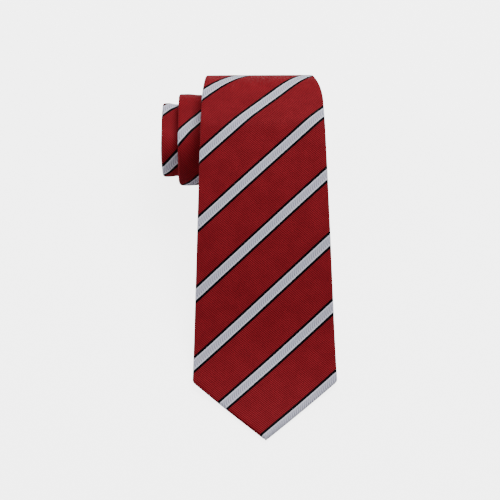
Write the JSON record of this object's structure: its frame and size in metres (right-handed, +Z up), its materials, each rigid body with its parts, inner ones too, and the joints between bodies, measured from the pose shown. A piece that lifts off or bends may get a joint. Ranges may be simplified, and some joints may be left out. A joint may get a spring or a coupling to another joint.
{
  "type": "necktie",
  "caption": "Striped silk necktie rolled up from its narrow end, with the pointed wide blade running off the top of the roll and down to the table.",
  "frame": {"origin": "middle of the flat underside of the roll, on the table", "axes": "+X along the roll, the inner turns stand out towards -X; -Y towards the blade's point; +Z up"},
  "size_m": [0.1024, 0.2295, 0.0621],
  "materials": {
    "silk_twill": "ribbed silk, striped",
    "tipping_satin": "satin",
    "interlining_wool": "brushed wool",
    "label_weave": "woven ribbon",
    "care_satin": "satin",
    "tack_thread": "silk thread",
    "seam_thread": "silk thread"
  },
  "bodies": {
    "roll": {"blade_shell_rolled": "silk_twill", "neck_shell": "silk_twill", "tail_shell": "silk_twill", "interlining_rolled": "interlining_wool", "tail_tipping": "tipping_satin", "tail_bar_tack": "tack_thread", "blade_join_seam": "seam_thread", "neck_join_seam": "seam_thread"},
    "blade_upper": {"blade_shell_upper": "silk_twill", "interlining_upper": "interlining_wool", "maker_label": "label_weave", "maker_label_stitches_left": "seam_thread", "maker_label_stitches_right": "seam_thread", "keeper_loop": "silk_twill", "slip_stitch": "seam_thread"},
    "blade_lower": {"blade_shell_lower": "silk_twill", "interlining_lower": "interlining_wool", "blade_tipping": "tipping_satin", "blade_bar_tack": "tack_thread"},
    "care_leaf": {"care_label": "care_satin"}
  },
  "joints": [
    {"name": "blade_lift", "type": "hinge", "parent": "roll", "child": "blade_upper", "pos_m": [0, -0.0085, 0.0621], "axis": [-1, 0, 0], "range_deg": [0, 150]},
    {"name": "blade_fold", "type": "hinge", "parent": "blade_upper", "child": "blade_lower", "pos_m": [0, -0.07811, 0.03623], "axis": [-1, 0, 0], "range_deg": [0, 130]},
    {"name": "care_label_flip", "type": "hinge", "parent": "blade_upper", "child": "care_leaf", "pos_m": [0, -0.05307, 0.04389], "axis": [1, 0, 0], "range_deg": [0, 80], "stiffness_Nm_per_rad": 0.0001}
  ]
}
